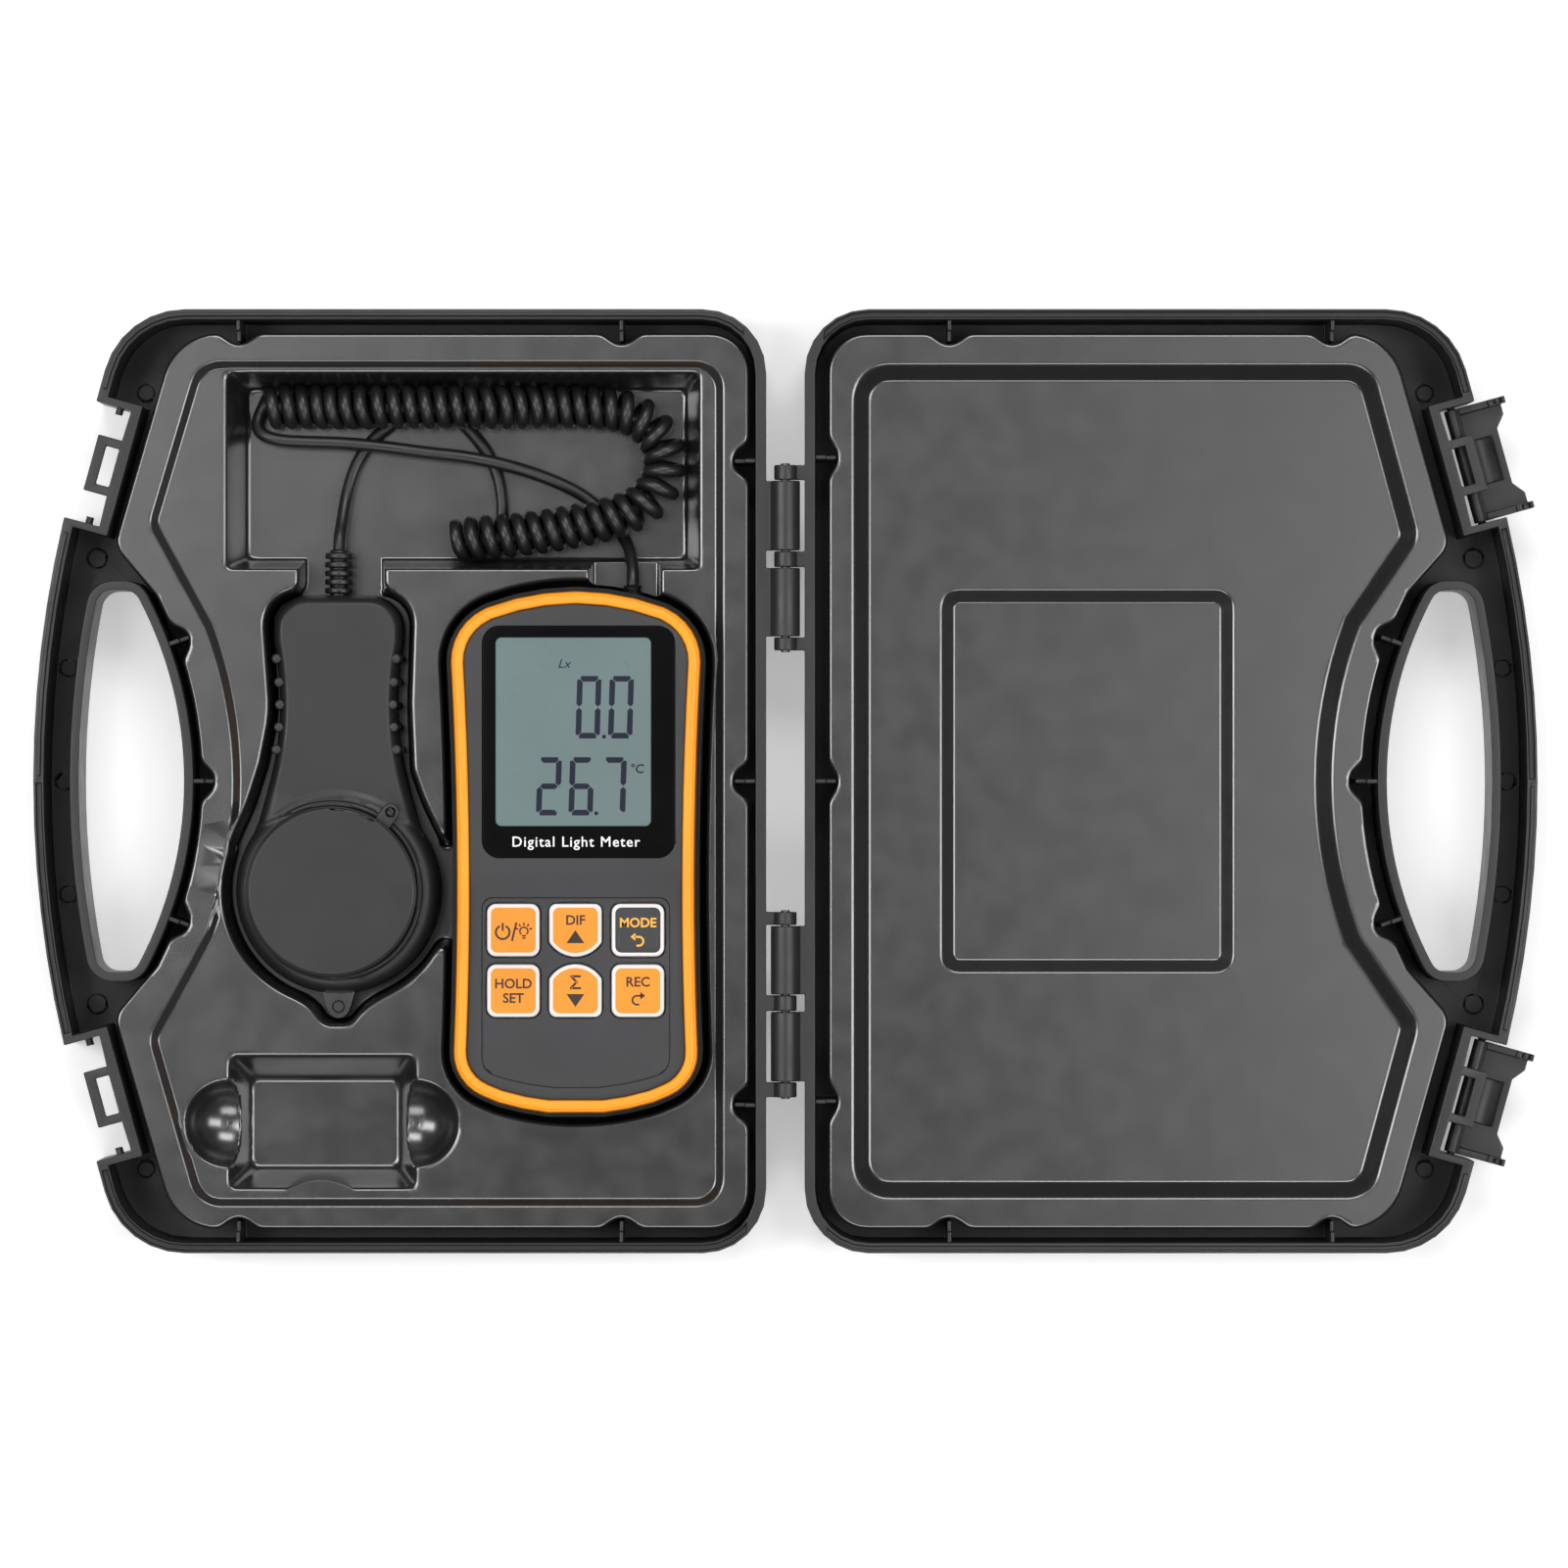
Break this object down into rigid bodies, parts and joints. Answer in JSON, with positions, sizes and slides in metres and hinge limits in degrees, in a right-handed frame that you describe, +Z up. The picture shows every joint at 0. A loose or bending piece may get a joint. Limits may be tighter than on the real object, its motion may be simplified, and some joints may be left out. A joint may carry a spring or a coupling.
{
  "type": "light meter",
  "caption": "Split-type light meter with a corded sensor head, stowed in the fitted trays of a hinged carry case that opens flat.",
  "frame": {"origin": "the middle of the open case's footprint, on the surface that it lies on; the hinge line is above x = 0", "axes": "+X from the base half to the lid half, +Y along the hinge towards the cord pocket, +Z up out of the open case"},
  "size_m": [0.427, 0.268, 0.0364],
  "materials": {
    "case_black": "satin textured",
    "tray_charcoal": "satin formed sheet",
    "hinge_steel": "blackened",
    "latch_black": "satin",
    "housing_grey": "fine texture",
    "rear_black": "fine texture",
    "band_orange": "soft touch",
    "window_black": "gloss",
    "lcd_glass": "gloss",
    "white_plastic": "matte",
    "conductive_rubber": "matte",
    "board_green": "satin",
    "chip_black": "matte",
    "silicone_grey": "matte",
    "key_orange": "satin",
    "key_dark": "satin",
    "cell_wrap": "gloss",
    "contact_steel": "plated",
    "screw_steel": "zinc plated",
    "sensor_grey": "fine texture",
    "diffuser_white": "milky",
    "filter_green": "clear",
    "diode_dark": "gloss",
    "cord_black": "satin",
    "cap_black": "satin"
  },
  "bodies": {
    "case_base": {"base_shell": "case_black", "base_tray": "tray_charcoal", "hinge_pin_upper": "hinge_steel", "hinge_pin_lower": "hinge_steel"},
    "lid": {"lid_shell": "case_black", "lid_tray": "tray_charcoal"},
    "latch_upper": {"latch_upper": "latch_black"},
    "latch_lower": {"latch_lower": "latch_black"},
    "instrument": {"rear_cover": "rear_black", "front_cover": "housing_grey", "bumper_band": "band_orange", "display_window": "window_black", "lcd_panel": "lcd_glass", "lcd_backlight": "white_plastic", "lcd_frame": "white_plastic", "zebra_strips": "conductive_rubber", "main_board": "board_green", "board_chips": "chip_black", "thermistor": "chip_black", "buzzer": "chip_black", "keypad_mat": "silicone_grey", "batteries": "cell_wrap", "battery_contacts": "contact_steel", "case_screws": "screw_steel", "board_screws": "screw_steel", "meter_gland": "cord_black", "sensor_bottom_shell": "rear_black", "sensor_top_shell": "sensor_grey", "diffuser": "diffuser_white", "colour_filter": "filter_green", "photodiode": "diode_dark", "sensor_board": "board_green", "sensor_screws": "screw_steel", "sensor_strain_relief": "cord_black", "cord_meter_lead": "cord_black", "cord_coil": "cord_black", "cord_sensor_lead": "cord_black"},
    "sensor_cap": {"sensor_cap": "cap_black"},
    "battery_door": {"battery_door": "rear_black"},
    "key_power": {"key_power": "key_orange"},
    "key_dif": {"key_dif": "key_orange"},
    "key_mode": {"key_mode": "key_dark"},
    "key_hold": {"key_hold": "key_orange"},
    "key_sum": {"key_sum": "key_orange"},
    "key_rec": {"key_rec": "key_orange"}
  },
  "joints": [
    {"name": "lid_hinge", "type": "hinge", "parent": "case_base", "child": "lid", "pos_m": [0, 0, 0.03], "axis": [0, -1, 0], "range_deg": [0, 180]},
    {"name": "latch_upper_snap", "type": "hinge", "parent": "lid", "child": "latch_upper", "pos_m": [0.19367, 0.08966, 0.02325], "axis": [0.2656, -0.9641, 0], "range_deg": [0, 90]},
    {"name": "latch_lower_snap", "type": "hinge", "parent": "lid", "child": "latch_lower", "pos_m": [0.19367, -0.08966, 0.02325], "axis": [-0.2656, -0.9641, 0], "range_deg": [0, 90]},
    {"name": "instrument_lift", "type": "slide", "parent": "case_base", "child": "instrument", "axis": [0, 0, -1], "range_m": [-0.06, 0]},
    {"name": "cap_lift", "type": "slide", "parent": "instrument", "child": "sensor_cap", "axis": [0, 0, -1], "range_m": [-0.02, 0]},
    {"name": "door_slide", "type": "slide", "parent": "instrument", "child": "battery_door", "axis": [0, -1, 0], "range_m": [0, 0.004]},
    {"name": "key_power_press", "type": "slide", "parent": "instrument", "child": "key_power", "axis": [0, 0, -1], "range_m": [0, 0.0008], "stiffness_N_per_m": 400},
    {"name": "key_dif_press", "type": "slide", "parent": "instrument", "child": "key_dif", "axis": [0, 0, -1], "range_m": [0, 0.0008], "stiffness_N_per_m": 400},
    {"name": "key_mode_press", "type": "slide", "parent": "instrument", "child": "key_mode", "axis": [0, 0, -1], "range_m": [0, 0.0008], "stiffness_N_per_m": 400},
    {"name": "key_hold_press", "type": "slide", "parent": "instrument", "child": "key_hold", "axis": [0, 0, -1], "range_m": [0, 0.0008], "stiffness_N_per_m": 400},
    {"name": "key_sum_press", "type": "slide", "parent": "instrument", "child": "key_sum", "axis": [0, 0, -1], "range_m": [0, 0.0008], "stiffness_N_per_m": 400},
    {"name": "key_rec_press", "type": "slide", "parent": "instrument", "child": "key_rec", "axis": [0, 0, -1], "range_m": [0, 0.0008], "stiffness_N_per_m": 400}
  ]
}
